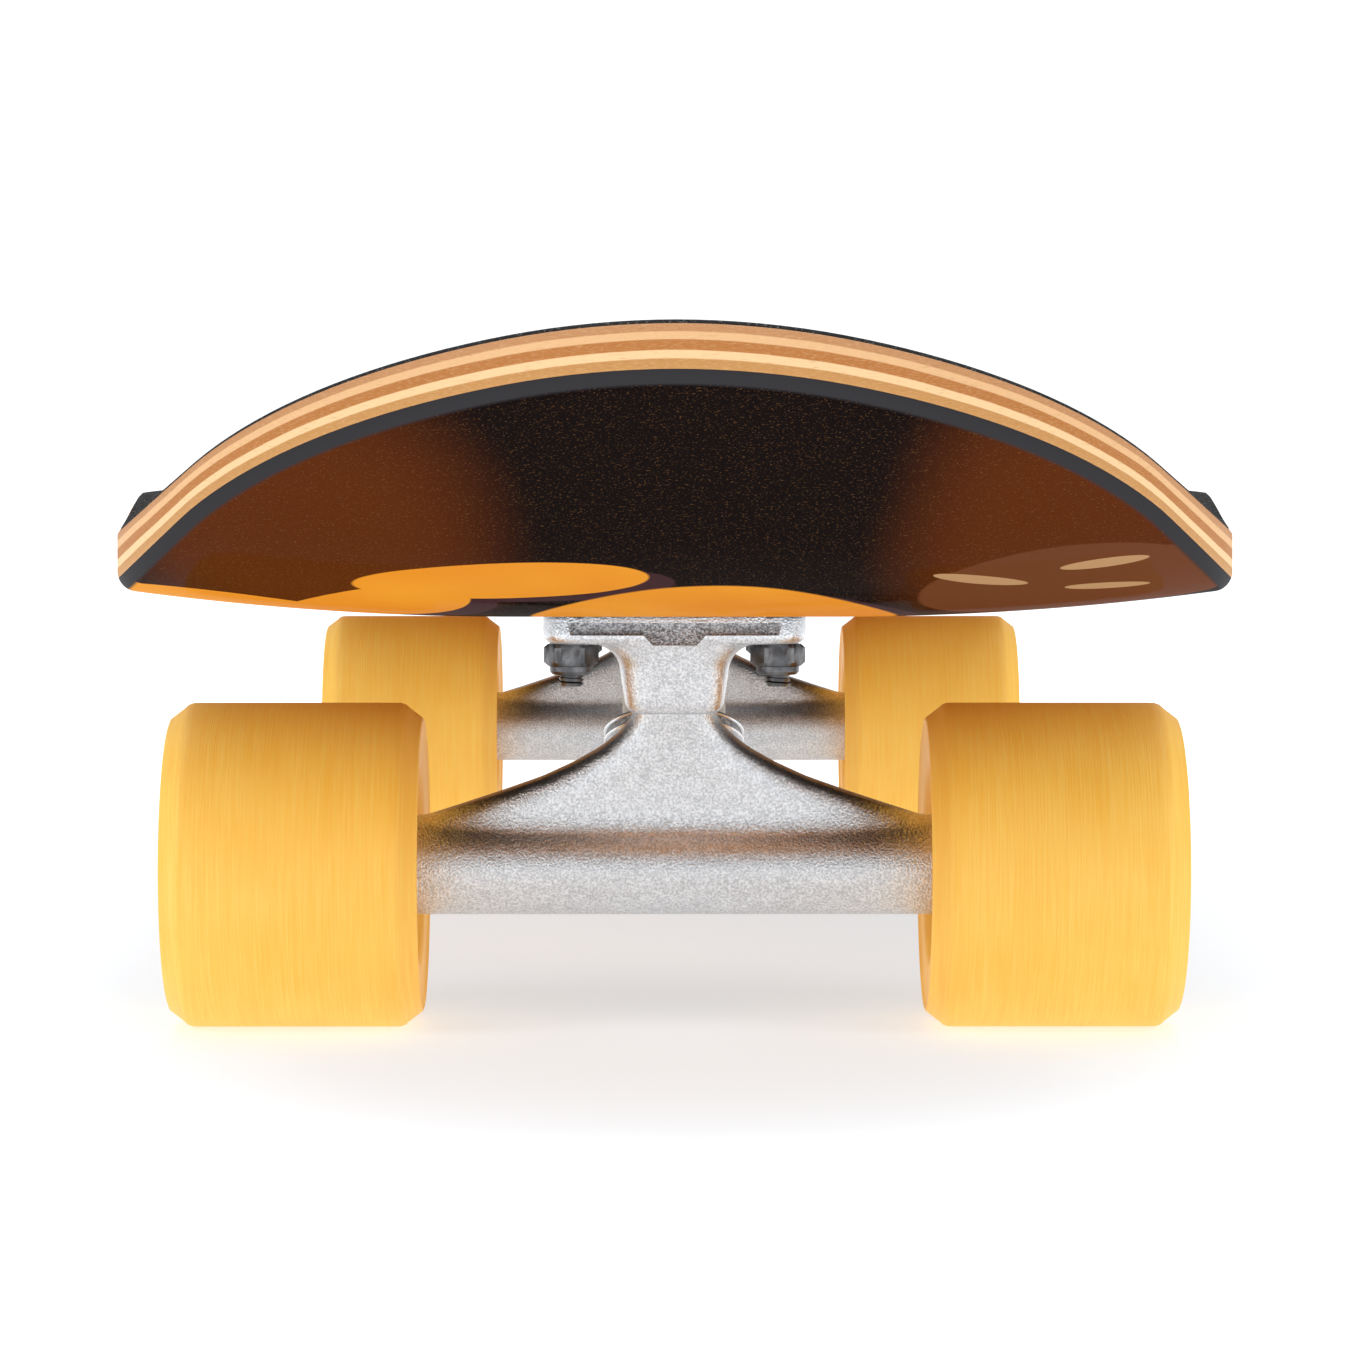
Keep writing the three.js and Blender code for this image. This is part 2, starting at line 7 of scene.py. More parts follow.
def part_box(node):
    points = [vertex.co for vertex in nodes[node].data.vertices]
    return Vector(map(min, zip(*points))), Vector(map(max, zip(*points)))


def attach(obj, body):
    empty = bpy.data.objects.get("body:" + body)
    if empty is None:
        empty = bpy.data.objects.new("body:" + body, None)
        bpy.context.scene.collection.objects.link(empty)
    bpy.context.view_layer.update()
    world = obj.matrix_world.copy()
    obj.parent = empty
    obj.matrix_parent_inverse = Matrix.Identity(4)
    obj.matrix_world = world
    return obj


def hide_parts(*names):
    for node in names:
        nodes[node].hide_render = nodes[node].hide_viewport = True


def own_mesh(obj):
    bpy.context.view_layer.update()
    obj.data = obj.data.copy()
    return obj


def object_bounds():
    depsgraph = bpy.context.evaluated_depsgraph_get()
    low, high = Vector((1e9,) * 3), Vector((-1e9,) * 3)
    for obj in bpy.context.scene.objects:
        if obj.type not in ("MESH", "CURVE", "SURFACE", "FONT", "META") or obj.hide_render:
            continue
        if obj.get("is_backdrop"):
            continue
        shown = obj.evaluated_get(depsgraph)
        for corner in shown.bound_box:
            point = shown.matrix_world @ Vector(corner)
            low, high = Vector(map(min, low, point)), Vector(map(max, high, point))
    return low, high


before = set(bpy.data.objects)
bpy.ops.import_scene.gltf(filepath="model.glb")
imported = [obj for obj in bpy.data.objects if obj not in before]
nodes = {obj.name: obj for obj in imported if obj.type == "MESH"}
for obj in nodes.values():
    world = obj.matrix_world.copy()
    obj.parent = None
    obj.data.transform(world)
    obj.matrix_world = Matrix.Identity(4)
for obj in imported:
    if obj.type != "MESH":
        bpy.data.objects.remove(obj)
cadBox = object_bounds()
mm = 0.001
ends = ("front", "rear")
sides = ("left", "right")
print("frame loaded")


def meshOf(name, points, faces, scale=mm):
    mesh = bpy.data.meshes.new(name)
    mesh.from_pydata((np.asarray(points, float) * scale).tolist(), [], faces)
    mesh.update()
    return mesh


def joined(*shells):
    points, faces = [], []
    for shellPoints, shellFaces in shells:
        start = len(points)
        points += [tuple(p) for p in shellPoints]
        faces += [tuple(i + start for i in face) for face in shellFaces]
    return points, faces


def moved(shell, matrix):
    return [tuple(matrix @ Vector(p)) for p in shell[0]], shell[1]


def turned(profile, steps=64, squeeze=None):
    # radius, height pairs: ends at radius 0 close on the axis, else the profile loops
    onAxis = profile[0][0] == 0 and profile[-1][0] == 0
    rings = profile[1:-1] if onAxis else profile
    points, faces = [], []
    for radius, height in rings:
        for i in range(steps):
            angle = 2 * math.pi * i / steps
            reach = min(radius, squeeze(angle)) if squeeze else radius
            points.append((reach * math.cos(angle), reach * math.sin(angle), height))
    count = len(rings)
    for k in range(count - 1 if onAxis else count):
        a, b = k * steps, (k + 1) % count * steps
        faces += [(a + i, a + (i + 1) % steps, b + (i + 1) % steps, b + i) for i in range(steps)]
    if onAxis:
        low, high = len(points), len(points) + 1
        points += [(0, 0, profile[0][1]), (0, 0, profile[-1][1])]
        last = (count - 1) * steps
        faces += [(low, (i + 1) % steps, i) for i in range(steps)]
        faces += [(high, last + i, last + (i + 1) % steps) for i in range(steps)]
    return points, faces


def arc(radius, centre, start, end, steps=6):
    # points on a circle about a (radius, height) centre, angles in degrees
    angles = [math.radians(start + (end - start) * i / steps) for i in range(steps + 1)]
    return [(max(centre[0] + radius * math.cos(a), 0), centre[1] + radius * math.sin(a)) for a in angles]


def roundedRod(radius, low, high, edge=0.4, steps=64):
    lowEdge = arc(edge, (radius - edge, low + edge), -90, 0, 4)
    highEdge = arc(edge, (radius - edge, high - edge), 0, 90, 4)
    return turned([(0, low), *lowEdge, *highEdge, (0, high)], steps)


def roundedRing(inner, outer, low, high, edge=0.3, steps=64):
    return turned([
        *arc(edge, (outer - edge, low + edge), -90, 0, 4),
        *arc(edge, (outer - edge, high - edge), 0, 90, 4),
        *arc(edge, (inner + edge, high - edge), 90, 180, 4),
        *arc(edge, (inner + edge, low + edge), 180, 270, 4)], steps)


def hexSqueeze(flats):
    def reach(angle):
        turn = (angle % (math.pi / 3)) - math.pi / 6
        return flats / 2 / math.cos(turn)
    return reach


def loft(sections):
    # each section is a rounded rectangle: height, centreY, halfX, halfY, power
    steps = 72
    points, faces = [], []
    for height, centreY, halfX, halfY, power in sections:
        for i in range(steps):
            angle = 2 * math.pi * i / steps
            c, s = math.cos(angle), math.sin(angle)
            x = halfX * math.copysign(abs(c) ** (2 / power), c)
            y = halfY * math.copysign(abs(s) ** (2 / power), s)
            points.append((x, centreY + y, height))
    for k in range(len(sections) - 1):
        a, b = k * steps, (k + 1) * steps
        faces += [(a + i, a + (i + 1) % steps, b + (i + 1) % steps, b + i) for i in range(steps)]
    last = (len(sections) - 1) * steps
    faces.append(tuple(range(steps))[::-1])
    faces.append(tuple(last + i for i in range(steps)))
    return points, faces


def smoothed(mesh, angle=32):
    mesh.shade_smooth()
    mesh.set_sharp_from_angle(angle=math.radians(angle))
    return mesh


def evaluated(obj):
    graph = bpy.context.evaluated_depsgraph_get()
    return bpy.data.meshes.new_from_object(obj.evaluated_get(graph))


def cast(name, shells, cuts, voxel=0.8, rounds=7):
    # overlapping shells melt into one casting with soft fillets, then it is drilled
    rough = bpy.data.objects.new(name, meshOf(name, *joined(*shells)))
    bpy.context.scene.collection.objects.link(rough)
    remesh = rough.modifiers.new("melt", "REMESH")
    remesh.mode = "VOXEL"
    remesh.voxel_size = voxel * mm
    soften = rough.modifiers.new("soften", "SMOOTH")
    soften.factor = 0.5
    soften.iterations = rounds
    drills = []
    for shell in cuts:
        drill = bpy.data.objects.new("drill", meshOf("drill", *shell))
        bpy.context.scene.collection.objects.link(drill)
        cut = rough.modifiers.new("cut", "BOOLEAN")
        cut.operation = "DIFFERENCE"
        cut.solver = "EXACT"
        cut.object = drill
        drills.append(drill)
    mesh = evaluated(rough)
    for obj in [rough, *drills]:
        bpy.data.objects.remove(obj)
    mesh.name = name
    return smoothed(mesh, 40)


def piece(name, mesh, material, body, slot, *replaced):
    obj = bpy.data.objects.new(name, mesh)
    bpy.context.scene.collection.objects.link(obj)
    if not mesh.materials:
        mesh.materials.append(material)
    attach(obj, body)
    if replaced:
        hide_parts(*replaced)
    return obj


class Wire:
    def __init__(self, tree, socket):
        self.tree = tree
        self.socket = socket

    def math(self, operation, other, flipped=False):
        pair = (other, self) if flipped else (self, other)
        return self.tree.node("ShaderNodeMath", {"operation": operation}, pair)

    def __add__(self, other):
        return self.math("ADD", other)

    def __radd__(self, other):
        return self.math("ADD", other, True)

    def __sub__(self, other):
        return self.math("SUBTRACT", other)

    def __rsub__(self, other):
        return self.math("SUBTRACT", other, True)

    def __mul__(self, other):
        return self.math("MULTIPLY", other)

    def __rmul__(self, other):
        return self.math("MULTIPLY", other, True)

    def __truediv__(self, other):
        return self.math("DIVIDE", other)

    def __pow__(self, other):
        return self.math("POWER", other)

    def atLeast(self, other):
        return self.math("MAXIMUM", other)

    def atMost(self, other):
        return self.math("MINIMUM", other)

    def ramp(self, low, high):
        settings = {"interpolation_type": "SMOOTHSTEP"}
        inputs = {"Value": self, "From Min": low, "From Max": high}
        return self.tree.node("ShaderNodeMapRange", settings, inputs)


class Tree:
    def __init__(self, tree):
        self.tree = tree

    def node(self, kind, settings=None, inputs=(), output=0):
        made = self.tree.nodes.new(kind)
        for key, value in (settings or {}).items():
            if key == "stops":
                self.setStops(made.color_ramp, value)
            else:
                setattr(made, key, value)
        pairs = inputs.items() if isinstance(inputs, dict) else enumerate(inputs)
        for key, value in pairs:
            if isinstance(value, Wire):
                self.tree.links.new(value.socket, made.inputs[key])
            elif value is not None:
                made.inputs[key].default_value = value
        self.last = made
        return Wire(self, made.outputs[output]) if made.outputs else None

    def setStops(self, ramp, stops):
        while len(ramp.elements) < len(stops):
            ramp.elements.new(0.5)
        for element, (place, colour) in zip(ramp.elements, stops):
            element.position = place
            element.color = (*colour, 1)

    def mixed(self, factor, first, second):
        first = first if isinstance(first, Wire) else (*first, 1)
        second = second if isinstance(second, Wire) else (*second, 1)
        return self.node("ShaderNodeMix", {"data_type": "RGBA"}, {0: factor, 6: first, 7: second}, 2)

    def noise(self, vector, scale, detail=2.0, roughness=0.5):
        inputs = {"Vector": vector, "Scale": scale, "Detail": detail, "Roughness": roughness}
        return self.node("ShaderNodeTexNoise", None, inputs)


class Finish(Tree):
    def __init__(self, name):
        self.material = bpy.data.materials.new(name)
        self.material.use_nodes = True
        super().__init__(self.material.node_tree)
        self.shader = self.tree.nodes["Principled BSDF"]
        self.place = self.node("ShaderNodeTexCoord", None, (), "Object")

    def axes(self):
        split = self.node("ShaderNodeSeparateXYZ", None, [self.place]).socket.node
        return [Wire(self, split.outputs[i]) for i in range(3)]

    def scaled(self, x, y, z):
        inputs = {0: self.place, 1: (x, y, z)}
        return self.node("ShaderNodeVectorMath", {"operation": "MULTIPLY"}, inputs)

    def along(self, name):
        return self.node("ShaderNodeAttribute", {"attribute_name": name}, (), "Fac")

    def bump(self, height, strength, distance, under=None):
        inputs = {"Height": height, "Strength": strength, "Distance": distance, "Normal": under}
        return self.node("ShaderNodeBump", None, inputs)

    def finish(self, **inputs):
        for key, value in inputs.items():
            socket = self.shader.inputs[key.replace("_", " ")]
            if isinstance(value, Wire):
                self.tree.links.new(value.socket, socket)
            else:
                socket.default_value = (*value, 1) if socket.type == "RGBA" else value
        return self.material


def castAluminium(name, dull, light, depth):
    f = Finish(name)
    grain = f.noise(f.place, 2100, 2, 0.6)
    mottle = f.noise(f.place, 420, 3)
    tone = f.mixed((grain * 0.8 + mottle * 0.2).ramp(0.36, 0.66), dull, light)
    normal = f.bump(grain, 0.55, depth)
    return f.finish(Base_Color=tone, Metallic=0.97, Roughness=0.25 + mottle * 0.1, Normal=normal)


def machinedSteel(name, colour, roughness, wear):
    f = Finish(name)
    lines = f.noise(f.scaled(900, 900, 5200), 1, 2)
    blotch = f.noise(f.place, 340, 3)
    tone = f.mixed(blotch.ramp(0.35, 0.8), colour, wear)
    normal = f.bump(lines, 0.12, 0.00006)
    return f.finish(Base_Color=tone, Metallic=1.0, Roughness=roughness + blotch * 0.12, Normal=normal)


def urethaneWheel():
    # lathe lines run round the tread, so they change along X only
    f = Finish("wheel_urethane")
    fine = f.noise(f.scaled(2600, 50, 50), 1, 2, 0.7)
    wide = f.noise(f.scaled(700, 30, 30), 1, 2)
    cloud = f.noise(f.place, 60, 3)
    tone = f.mixed(cloud.ramp(0.25, 0.8), (0.73, 0.52, 0.073), (0.77, 0.57, 0.098))
    tone = f.mixed(fine.ramp(0.35, 0.75) * 0.5, tone, (0.86, 0.70, 0.18))
    tone = f.mixed((1 - wide).ramp(0.4, 0.75) * 0.25, tone, (0.74, 0.43, 0.040))
    normal = f.bump(fine, 0.5, 0.00015)
    # the faint orange emission is painted light: the wheel glows a little, standing in for light passing
    # through the translucent urethane
    return f.finish(Base_Color=tone, Roughness=0.4 + fine * 0.16, Normal=normal, Subsurface_Weight=0.1,
                    Subsurface_Radius=(0.003, 0.0015, 0.0004), Subsurface_Scale=1.0,
                    Emission_Color=(1.0, 0.22, 0.01), Emission_Strength=0.3)


def smoothUrethane(name, colour, deeper):
    f = Finish(name)
    cloud = f.noise(f.place, 220, 3)
    tone = f.mixed(cloud, colour, deeper)
    normal = f.bump(f.noise(f.place, 1500, 2), 0.1, 0.0001)
    return f.finish(Base_Color=tone, Roughness=0.38 + cloud * 0.1, Normal=normal)


def gripGrit():
    f = Finish("grip_grit")
    grains = f.node("ShaderNodeTexVoronoi", None, {"Vector": f.place, "Scale": 1500})
    patches = f.noise(f.place, 45, 4)
    glint = f.noise(f.place, 1900, 2, 0.7).ramp(0.55, 0.68)
    tone = f.mixed(patches, (0.014, 0.014, 0.015), (0.034, 0.034, 0.036))
    tone = f.mixed(glint * 0.75, tone, (0.17, 0.165, 0.16))
    normal = f.bump(grains, 1.0, 0.0006)
    return f.finish(Base_Color=tone, Roughness=0.92 - glint * 0.3, Normal=normal, Specular_IOR_Level=0.3)


def mapleEdge():
    # the plies are told apart by their depth below the top face
    f = Finish("maple_edge")
    waver = f.noise(f.scaled(35, 35, 60), 1, 3)
    depth = f.along("plyDepth") + (waver - 0.5) * 0.5
    tone = (0.56, 0.265, 0.11)
    plies = [
        (2.0, (0.84, 0.50, 0.245)), (3.5, (0.50, 0.185, 0.042)),
        (5.5, (0.95, 0.63, 0.33)), (7.1, (0.58, 0.28, 0.085))]
    for start, colour in plies:
        tone = f.mixed(depth.ramp(start - 0.12, start + 0.12), tone, colour)
    fibres = f.noise(f.scaled(900, 900, 5200), 1, 4, 0.65)
    pores = f.noise(f.scaled(420, 420, 3800), 1, 3, 0.6)
    tone = f.mixed(fibres.ramp(0.45, 0.8) * 0.35, tone, (0.95, 0.66, 0.36))
    tone = f.mixed(pores.ramp(0.55, 0.8) * 0.4, tone, (0.36, 0.13, 0.03))
    normal = f.bump(fibres, 0.3, 0.00025)
    return f.finish(Base_Color=tone, Roughness=0.55 + fibres * 0.12, Normal=normal, Specular_IOR_Level=0.3)


lobes = {
    # the first lobes are no print: they mark the painted reflections of the amber wheels on the glossy
    # underside
    "painted_light": [(-0.066, 0.060, 0.042, 0.078, 0), (0.070, 0.060, 0.038, 0.078, 0)],
    "orange": [(-0.084, 0.108, 0.026, 0.016, 12), (-0.032, 0.074, 0.027, 0.0105, -8),
               (-0.055, 0.097, 0.013, 0.024, 35),
               (0.007, 0.112, 0.034, 0.036, 0), (0.052, 0.300, 0.042, 0.024, 20),
               (-0.050, 0.340, 0.034, 0.050, 0)],
    "rust": [(0.074, 0.086, 0.030, 0.026, 8), (0.010, 0.360, 0.036, 0.046, 30),
             (-0.07, 0.285, 0.020, 0.030, 0)],
    "tan": [(0.055, 0.074, 0.009, 0.0022, 22), (0.077, 0.069, 0.008, 0.0022, -8),
            (0.078, 0.083, 0.008, 0.0022, 10),
            (0.004, 0.352, 0.005, 0.022, 20)],
}


def printedUnderside():
    # a dark lacquered print of rounded lobes, with fine flake under a clear coat; near each end soft amber
    # patches either side are painted reflections of the wheels, not print
    f = Finish("printed_underside")
    x, y, _ = f.axes()
    bend = f.noise(f.scaled(14, 14, 14), 1, 1) - 0.5
    fromEnd = f.node("ShaderNodeMath", {"operation": "PINGPONG"}, [y - cadBox[0].y, cadBox[1].y])
    u = x + bend * 0.007
    v = fromEnd + bend * 0.006

    def mask(name, shiftX=0.0, shiftY=0.0, inner=0.97):
        total = None
        for middleX, middleY, halfX, halfY, turn in lobes[name]:
            c, s = math.cos(math.radians(turn)), math.sin(math.radians(turn))
            dx, dy = u - (middleX + shiftX), v - (middleY + shiftY)
            p = (dx * c + dy * s) / halfX
            q = (dy * c - dx * s) / halfY
            near = 1 - (p * p + q * q).ramp(inner, 1.03)
            total = near if total is None else total.atLeast(near)
        return total

    flat = f.along("plyDepth").ramp(10.6, 10.95)
    flake = f.noise(f.place, 2300, 1).ramp(0.58, 0.75)
    # painted reflection: amber patches where the wheels would be mirrored in the lacquer, mixed into the dark
    # base colour
    painted_light = mask("painted_light", inner=0.1)
    dark = f.mixed(painted_light, (0.006, 0.0032, 0.003), (0.092, 0.020, 0.0032))
    tone = f.mixed(flake * 0.3, dark, (0.24, 0.11, 0.040))
    tone = f.mixed(mask("rust") * flat, tone, (0.135, 0.042, 0.016))
    tone = f.mixed(mask("tan") * flat, tone, (0.42, 0.24, 0.115))
    tone = f.mixed(mask("orange", 0.005, 0.003) * flat, tone, (0.050, 0.020, 0.022))
    warm = f.noise(f.place, 22, 2)
    amber = f.mixed(warm.ramp(0.3, 0.7), (0.70, 0.235, 0.019), (0.77, 0.305, 0.026))
    tone = f.mixed(mask("orange") * flat, tone, amber)
    tone = f.mixed(flat, (0.036, 0.034, 0.037), tone)
    normal = f.bump(f.noise(f.place, 900, 2), 0.05, 0.0001)
    return f.finish(Base_Color=tone, Roughness=0.4, Normal=normal, Specular_IOR_Level=0.0, Coat_Weight=0.07,
                    Coat_Roughness=0.08, Coat_IOR=1.25)


finishes = {
    "cast": castAluminium("cast_aluminium", (0.55, 0.56, 0.575), (0.88, 0.895, 0.92), 0.0003),
    "rough": castAluminium("rough_aluminium", (0.20, 0.20, 0.21), (0.62, 0.63, 0.65), 0.001),
    "seat": machinedSteel("machined_seat", (0.86, 0.87, 0.89), 0.1, (0.7, 0.71, 0.73)),
    "dark": machinedSteel("dark_steel", (0.10, 0.10, 0.105), 0.24, (0.27, 0.27, 0.275)),
    "bright": machinedSteel("bright_steel", (0.72, 0.72, 0.73), 0.12, (0.62, 0.62, 0.63)),
    "bearing": machinedSteel("bearing_steel", (0.56, 0.56, 0.57), 0.22, (0.44, 0.44, 0.46)),
    "shield": machinedSteel("bearing_shield", (0.16, 0.16, 0.17), 0.35, (0.1, 0.1, 0.11)),
    "wheel": urethaneWheel(),
    "bushing": smoothUrethane("bushing_urethane", (0.70, 0.66, 0.58), (0.62, 0.57, 0.48)),
    "pivot": smoothUrethane("pivot_urethane", (0.02, 0.02, 0.022), (0.035, 0.035, 0.038)),
    "grit": gripGrit(),
    "maple": mapleEdge(),
    "print": printedUnderside(),
}
print("finishes made")


deckSizes = {
    "halfWidth": 106.5, "thickness": 11.0, "underside": 86.0,
    "flatHalf": 30.0, "concave": 11.5, "kickConcave": 5.5, "fadeFrom": 20.0, "fadeTo": 66.0,
    "kickRadius": 134.0, "outlinePower": 1.95,
    "topEdge": 0.9, "bottomEdge": 3.2, "paintFrom": 8.7,
    "gripThickness": 0.9, "gripInset": 0.7,
    "tipRows": 44, "middleRows": 70, "columns": 44,
}
deckEnds = {
    -1: {"overhang": 180.0, "taper": 125.0, "kickStart": 64.0, "kickAngle": 27.0},
    1: {"overhang": 157.0, "taper": 112.0, "kickStart": 60.0, "kickAngle": 26.0},
}
axlePlace = {end: (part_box(f"{end}_axle")[0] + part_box(f"{end}_axle")[1]) / 2 for end in ends}
deckEnds[-1]["axleY"] = axlePlace["front"].y / mm
deckEnds[1]["axleY"] = axlePlace["rear"].y / mm


def endValues(y, key):
    return np.where(y < 0, deckEnds[-1][key], deckEnds[1][key])


def deckHeight(x, y):
    s = deckSizes
    ahead = np.sign(y) * (y - endValues(y, "axleY"))
    angle = np.radians(endValues(y, "kickAngle"))
    run = np.maximum(ahead - endValues(y, "kickStart"), 0)
    bend = s["kickRadius"] * np.sin(angle)
    onArc = np.minimum(run, bend)
    kick = s["kickRadius"] - np.sqrt(s["kickRadius"] ** 2 - onArc ** 2) + (run - onArc) * np.tan(angle)
    share = np.clip((ahead - s["fadeFrom"]) / (s["fadeTo"] - s["fadeFrom"]), 0, 1)
    fade = share * share * (3 - 2 * share)
    depth = s["concave"] + (s["kickConcave"] - s["concave"]) * fade
    curl = np.maximum(np.abs(x) - s["flatHalf"], 0) / (s["halfWidth"] - s["flatHalf"])
    return s["underside"] + s["thickness"] + kick + depth * curl ** 2


def offsetPoints(x, y, offset):
    # points at an offset from the deck's top, square to it as seen from the side
    step = 0.01
    slopeX = (deckHeight(x + step, y) - deckHeight(x - step, y)) / (2 * step)
    slopeY = (deckHeight(x, y + step) - deckHeight(x, y - step)) / (2 * step)
    lean = np.hypot(slopeY, 1)
    reach = offset * np.sqrt(slopeX ** 2 + slopeY ** 2 + 1) / lean
    return np.stack([x, y - reach * slopeY / lean, deckHeight(x, y) + reach / lean], axis=-1)


def outlineRows():
    # half widths and places along the board, from the front tip to the rear tip
    s = deckSizes
    rows = []
    for side in (-1, 1):
        end = deckEnds[side]
        angle = np.linspace(0, math.pi / 2, s["tipRows"] + 1)
        # even steps round the curved tip: the share of the taper still to go is the cosine
        share = np.cos(angle)
        width = s["halfWidth"] * (1 - share ** s["outlinePower"]) ** (1 / s["outlinePower"])
        ahead = end["overhang"] - end["taper"] * (1 - share)
        rows.append(np.stack([width, end["axleY"] + side * ahead]))
    front, rear = rows
    middle = np.linspace(front[1][-1], rear[1][-1], s["middleRows"] + 2)[1:-1]
    straight = np.stack([np.full(len(middle), s["halfWidth"]), middle])
    return np.concatenate([front, straight, rear[:, ::-1]], axis=1)


def boardShell(rim):
    # rim lists inset, offset steps from the top face's edge round to the bottom face's edge
    width, place = outlineRows()
    count = len(width)
    dw, dy = np.gradient(width), np.gradient(place)
    dw[0], dy[0], dw[-1], dy[-1] = 1, 0, -1, 0
    size = np.hypot(dw, dy)
    outX, outY = dy / size, -dw / size
    columns = deckSizes["columns"]
    shares = np.linspace(-1, 1, columns + 1)
    points, depths, faces = [], [], []

    def addSheet(inset, offset, flip):
        start = len(points)
        x, y = width - inset * outX, place - inset * outY
        index = {}
        for i in range(count):
            for j in range(columns + 1):
                if i in (0, count - 1):
                    index[i, j] = start + (0 if i == 0 else 1)
        points.extend([(0.0, y[0], offset), (0.0, y[-1], offset)])
        for i in range(1, count - 1):
            for j in range(columns + 1):
                index[i, j] = len(points)
                points.append((x[i] * shares[j], y[i], offset))
        for i in range(count - 1):
            for j in range(columns):
                quad = [index[i, j], index[i, j + 1], index[i + 1, j + 1], index[i + 1, j]]
                quad = list(dict.fromkeys(quad))
                faces.append(tuple(quad[::-1] if flip else quad))
        loop = [index[i, columns] for i in range(count)] + [index[i, 0] for i in range(count - 2, 0, -1)]
        return loop

    loops = [addSheet(*rim[0], False)]
    for inset, offset in rim[1:-1]:
        x, y = width - inset * outX, place - inset * outY
        start = len(points)
        points.extend((x[i], y[i], offset) for i in range(count))
        points.extend((-x[i], y[i], offset) for i in range(count - 2, 0, -1))
        loops.append(list(range(start, len(points))))
    loops.append(addSheet(*rim[-1], True))
    around = len(loops[0])
    for upper, lower in zip(loops, loops[1:]):
        for i in range(around):
            j = (i + 1) % around
            faces.append((upper[i], lower[i], lower[j], upper[j]))
    flat = np.array(points)
    return offsetPoints(flat[:, 0], flat[:, 1], flat[:, 2]), faces, -flat[:, 2]


def deckRim():
    s = deckSizes
    top = [(s["topEdge"] * (1 - math.sin(a)), -s["topEdge"] * (1 - math.cos(a)))
           for a in np.linspace(0, math.pi / 2, 5)]
    straight = [(0.0, -d) for d in np.linspace(s["topEdge"], s["thickness"] - s["bottomEdge"], 12)[1:]]
    bottom = [(s["bottomEdge"] * (1 - math.cos(a)), -s["thickness"] + s["bottomEdge"] * (1 - math.sin(a)))
              for a in np.linspace(0, math.pi / 2, 10)[1:]]
    return top + straight + bottom


def makeDeck():
    points, faces, depth = boardShell(deckRim())
    mesh = meshOf("deck_board", points, faces)
    layer = mesh.attributes.new("plyDepth", "FLOAT", "POINT")
    layer.data.foreach_set("value", depth.astype(np.float32))
    smoothed(mesh, 60)
    piece("deck_board", mesh, finishes["maple"], "board", "maple", "deck")
    mesh.materials.append(finishes["print"])
    painted = [int(min(depth[i] for i in face) >= deckSizes["paintFrom"]) for face in faces]
    mesh.polygons.foreach_set("material_index", painted)


def makeGrip():
    s = deckSizes
    inset, high = s["gripInset"], s["gripThickness"]
    rim = [
        (inset + 0.35, high), (inset + 0.1, high - 0.1), (inset, high - 0.35),
        (inset, 0.05), (inset + 0.3, 0.02)]
    points, faces, _ = boardShell(rim)
    mesh = smoothed(meshOf("grip_sheet", points, faces), 60)
    piece("grip_sheet", mesh, finishes["grit"], "board", "grip", "grip_tape")


makeDeck()
makeGrip()
print("deck made")


truck = {
    "steerAngle": 25.0, "steerLimit": 14.0, "pivotInward": -16.0, "pivotUp": 42.0, "pivotToKingpin": 49.5,
    "tubeRadius": 10.2, "halfWidth": 63.5, "neckRadius": 7.8, "pivotRadius": 5.0,
    "ringRadius": 14.5, "ringThickness": 8.0, "ringHole": 6.6, "axleRadius": 4.0,
    "plateWidth": 52.7, "plateFront": -32.0, "plateBack": 50.0, "plateTop": 52.7, "plateBottom": 46.1,
    "panelDepth": 1.3, "bossRadius": 11.4, "cupHole": 7.2,
    "boardBushing": (4.3, 16.3), "roadBushing": (-14.3, -4.3), "bushingRadius": 10.6,
    "boardWasher": (16.6, 18.1), "roadWasher": (-16.1, -14.6), "bossFace": 18.4, "headBase": 24.3,
    "headTop": 29.3,
    "kingpinRadius": 4.75, "kingpinFlats": 14.3, "kingpinNut": (-23.4, -16.4), "kingpinEnd": -25.8,
    "boltAcross": 41.28, "boltAlong": 53.98, "boltInward": 9.0, "boltRadius": 2.4, "boltFlats": 9.53,
    "boltTop": 98.0, "boltEnd": 70.3, "boardWasherRadius": 11.2, "roadWasherRadius": 10.2, "bushingTip": 8.5,
    "beadInner": 13.85, "beadOuter": 14.75, "beadSpans": ((3.9, 4.8), (1.8, 2.7)),
    "collar": (12.0, 14.1, 2.0, 4.5),
    "cupOuter": 6.9, "cupInner": 5.3, "cupTop": 5.0,
}
alongX = Matrix.Rotation(math.pi / 2, 4, "Y")


def steerFrame():
    t = truck
    lean = math.radians(t["steerAngle"])
    y = t["pivotInward"] + t["pivotToKingpin"] * math.cos(lean)
    z = t["pivotUp"] - t["pivotToKingpin"] * math.sin(lean)
    return Matrix.Translation((0, y, z)) @ Matrix.Rotation(-lean, 4, "X")


def pivotFrame():
    back = Matrix.Translation((0, -truck["pivotToKingpin"], 0))
    return steerFrame() @ back @ Matrix.Rotation(-math.pi / 2, 4, "X")


def truckPlace(end):
    turn = 0 if end == "front" else math.pi
    return Matrix.Translation(axlePlace[end]) @ Matrix.Rotation(turn, 4, "Z")


